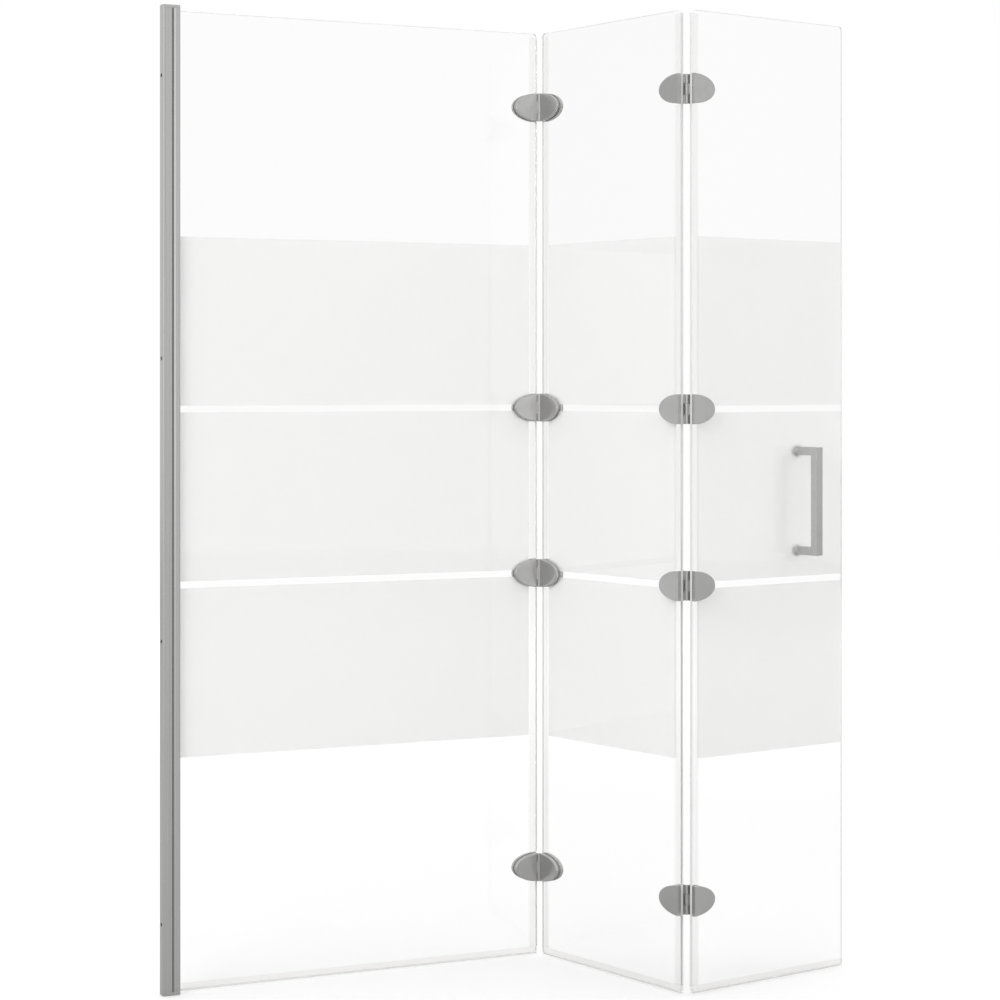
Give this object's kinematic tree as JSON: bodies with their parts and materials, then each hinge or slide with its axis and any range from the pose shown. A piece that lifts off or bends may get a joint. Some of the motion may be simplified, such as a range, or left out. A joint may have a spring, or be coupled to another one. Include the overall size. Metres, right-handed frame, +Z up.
{
  "type": "folding bath shower screen",
  "caption": "Folding glass shower screen for a bath: a fixed wall panel and two hinged panels with frosted bands, chrome hinges, clear seals and a square pull handle.",
  "frame": {"origin": "on the wall plane, at the lower end of the wall profile and on the middle plane of the fixed glass", "axes": "+X away from the wall along the fixed panel, +Y towards the side the end panel's handle does not face, +Z up"},
  "size_m": [0.9768, 0.3229, 1.4],
  "materials": {
    "silver_aluminium": "satin silver anodised",
    "polished_chrome": "polished chrome plate",
    "stainless_steel": "plain stainless steel",
    "clear_glass": "clear toughened glass, polished edges",
    "frosted_print": "matt frosted print",
    "clear_vinyl": "clear soft vinyl",
    "grey_rubber": "matt grey"
  },
  "bodies": {
    "fixed_panel": {"wall_channel": "silver_aluminium", "glass_profile": "silver_aluminium", "glazing_gaskets": "grey_rubber", "top_cap": "silver_aluminium", "bottom_cap": "silver_aluminium", "profile_lock_screws": "stainless_steel", "fixed_glass": "clear_glass", "fixed_frosted_bands": "frosted_print", "fixed_bottom_seal": "clear_vinyl", "fixed_edge_seal": "clear_vinyl", "fixed_hinge_leaf_1": "polished_chrome", "fixed_hinge_leaf_2": "polished_chrome", "fixed_hinge_leaf_3": "polished_chrome", "fixed_hinge_leaf_4": "polished_chrome", "fixed_hinge_covers": "polished_chrome", "fixed_clamp_plates": "stainless_steel", "fixed_hinge_pads": "clear_vinyl", "fixed_hinge_screws": "stainless_steel", "fold_1_pins": "stainless_steel"},
    "middle_panel": {"middle_glass": "clear_glass", "middle_frosted_bands": "frosted_print", "middle_bottom_seal": "clear_vinyl", "middle_near_edge_seal": "clear_vinyl", "middle_far_edge_seal": "clear_vinyl", "middle_near_hinge_leaf_1": "polished_chrome", "middle_near_hinge_leaf_2": "polished_chrome", "middle_near_hinge_leaf_3": "polished_chrome", "middle_near_hinge_leaf_4": "polished_chrome", "middle_far_hinge_leaf_1": "polished_chrome", "middle_far_hinge_leaf_2": "polished_chrome", "middle_far_hinge_leaf_3": "polished_chrome", "middle_far_hinge_leaf_4": "polished_chrome", "middle_near_hinge_covers": "polished_chrome", "middle_far_hinge_covers": "polished_chrome", "middle_near_clamp_plates": "stainless_steel", "middle_far_clamp_plates": "stainless_steel", "middle_near_hinge_pads": "clear_vinyl", "middle_far_hinge_pads": "clear_vinyl", "middle_near_hinge_screws": "stainless_steel", "middle_far_hinge_screws": "stainless_steel", "fold_2_pins": "stainless_steel"},
    "end_panel": {"end_glass": "clear_glass", "end_frosted_bands": "frosted_print", "end_bottom_seal": "clear_vinyl", "end_edge_seal": "clear_vinyl", "end_hinge_leaf_1": "polished_chrome", "end_hinge_leaf_2": "polished_chrome", "end_hinge_leaf_3": "polished_chrome", "end_hinge_leaf_4": "polished_chrome", "end_hinge_covers": "polished_chrome", "end_clamp_plates": "stainless_steel", "end_hinge_pads": "clear_vinyl", "end_hinge_screws": "stainless_steel", "pull_handle": "polished_chrome", "handle_washers": "clear_vinyl", "handle_back_caps": "polished_chrome", "handle_screws": "stainless_steel"}
  },
  "joints": [
    {"name": "fold_1", "type": "hinge", "parent": "fixed_panel", "child": "middle_panel", "pos_m": [0.6, -0.0078, 0.7], "axis": [0, 0, 1], "range_deg": [-98.5, 77.5]},
    {"name": "fold_2", "type": "hinge", "parent": "middle_panel", "child": "end_panel", "pos_m": [0.68016, -0.29731, 0.7], "axis": [0, 0, 1], "range_deg": [-88.5, 89.5]}
  ]
}
